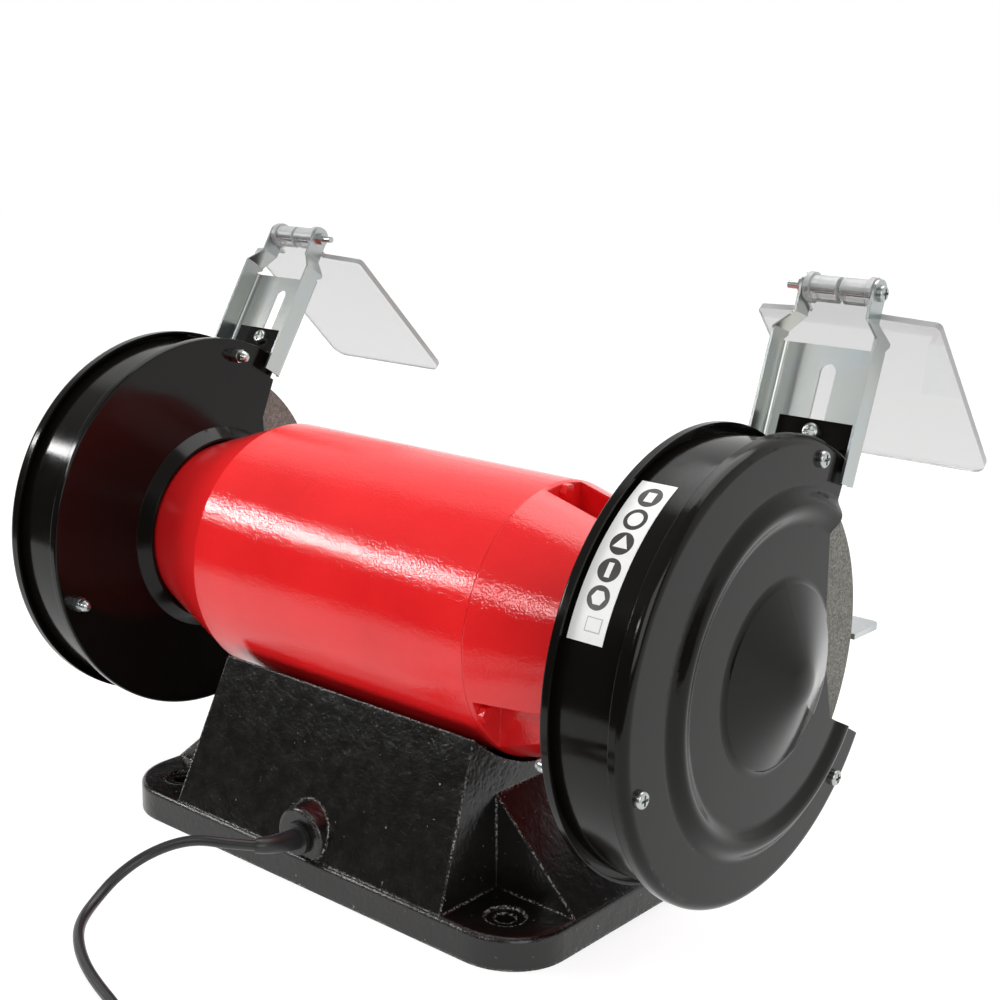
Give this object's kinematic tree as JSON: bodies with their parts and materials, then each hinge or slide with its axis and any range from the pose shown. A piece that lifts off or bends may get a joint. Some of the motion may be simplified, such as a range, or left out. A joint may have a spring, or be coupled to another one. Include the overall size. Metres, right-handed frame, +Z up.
{
  "type": "bench grinder",
  "caption": "Electric bench grinder: red motor on a black cast base, guarded wheels, eye shields and tool rests.",
  "frame": {"origin": "centre of the base's underside, on the bench", "axes": "+X along the motor shaft, -Y towards the operator, +Z up"},
  "size_m": [0.5164, 0.688, 0.346],
  "materials": {
    "base_paint": "gloss black enamel over a rough casting",
    "guard_paint": "gloss black enamel on pressed sheet",
    "motor_paint": "gloss red enamel",
    "plain_steel": "plain sheet steel",
    "black_plastic": "black moulded plastic",
    "switch_plastic": "black rocker",
    "cord_rubber": "satin black flexible plastic",
    "plated_pins": "nickel plated brass",
    "lamination_steel": "stacked electrical steel",
    "copper_wire": "enamelled copper wire",
    "bearing_steel": "ground steel",
    "zinc_steel": "bright zinc plate",
    "paper": "thick paper",
    "label": "printed vinyl label",
    "abrasive": "vitrified grey aluminium oxide",
    "clear_shield": "clear polycarbonate",
    "rest_metal": "rough cast and plated metal"
  },
  "bodies": {
    "grinder": {"base_casting": "base_paint", "bearing_balls": "bearing_steel", "bearing_outer_rings": "bearing_steel", "bottom_plate": "plain_steel", "bottom_plate_screws": "zinc_steel", "bracket_screw_left": "zinc_steel", "bracket_screw_right": "zinc_steel", "capacitor_clip": "plain_steel", "coil_tie": "cord_rubber", "cord": "cord_rubber", "cord_coil": "cord_rubber", "cover_nuts": "zinc_steel", "cover_screws": "zinc_steel", "end_cover": "motor_paint", "end_cover_bolts": "motor_paint", "guard_band_left": "guard_paint", "guard_band_right": "guard_paint", "guard_cover_left": "guard_paint", "guard_cover_right": "guard_paint", "guard_inner_left": "guard_paint", "guard_inner_right": "guard_paint", "guard_label": "label", "guard_mount_screws": "zinc_steel", "motor_housing": "motor_paint", "motor_mount_bolts": "zinc_steel", "plug_body": "cord_rubber", "plug_pins": "plated_pins", "preload_washer": "plain_steel", "rest_arm_left": "rest_metal", "rest_arm_right": "rest_metal", "rest_arm_screws": "zinc_steel", "rest_clamp_bolts": "zinc_steel", "run_capacitor": "black_plastic", "stator_core": "lamination_steel", "stator_windings": "copper_wire", "strain_relief": "cord_rubber", "switch_body": "black_plastic", "terminal_block": "black_plastic"},
    "rotor": {"shaft": "bearing_steel", "rotor_core": "lamination_steel", "bearing_inner_rings": "bearing_steel", "wheel_left": "abrasive", "wheel_right": "abrasive", "wheel_flanges": "zinc_steel", "wheel_blotters": "paper", "arbor_nuts": "zinc_steel"},
    "bracket_left": {"shield_bracket_left": "zinc_steel", "hinge_bolt_left": "zinc_steel", "hinge_nut_left": "zinc_steel"},
    "shield_left": {"eye_shield_left": "clear_shield"},
    "rest_left": {"tool_rest_left": "rest_metal"},
    "bracket_right": {"shield_bracket_right": "zinc_steel", "hinge_bolt_right": "zinc_steel", "hinge_nut_right": "zinc_steel"},
    "shield_right": {"eye_shield_right": "clear_shield"},
    "rest_right": {"tool_rest_right": "rest_metal"},
    "rocker": {"switch_rocker": "switch_plastic"}
  },
  "joints": [
    {"name": "wheel_spin", "type": "hinge", "parent": "grinder", "child": "rotor", "pos_m": [0, 0, 0.1572], "axis": [1, 0, 0], "continuous": true},
    {"name": "bracket_slide_left", "type": "slide", "parent": "grinder", "child": "bracket_left", "axis": [0, -0.309, 0.9511], "range_m": [-0.006, 0.011]},
    {"name": "shield_tilt_left", "type": "hinge", "parent": "bracket_left", "child": "shield_left", "pos_m": [-0.2067, -0.08234, 0.33832], "axis": [-1, 0, 0], "range_deg": [-5, 90]},
    {"name": "rest_slide_left", "type": "slide", "parent": "grinder", "child": "rest_left", "axis": [0, -1, 0], "range_m": [0, 0.012]},
    {"name": "bracket_slide_right", "type": "slide", "parent": "grinder", "child": "bracket_right", "axis": [0, -0.515, 0.8572], "range_m": [-0.006, 0.011]},
    {"name": "shield_tilt_right", "type": "hinge", "parent": "bracket_right", "child": "shield_right", "pos_m": [0.2067, -0.09691, 0.33487], "axis": [-1, 0, 0], "range_deg": [-5, 90]},
    {"name": "rest_slide_right", "type": "slide", "parent": "grinder", "child": "rest_right", "axis": [0, -1, 0], "range_m": [0, 0.012]},
    {"name": "power_switch", "type": "hinge", "parent": "grinder", "child": "rocker", "pos_m": [0, -0.08619, 0.05518], "axis": [1, 0, 0], "range_deg": [-16, 0]}
  ]
}
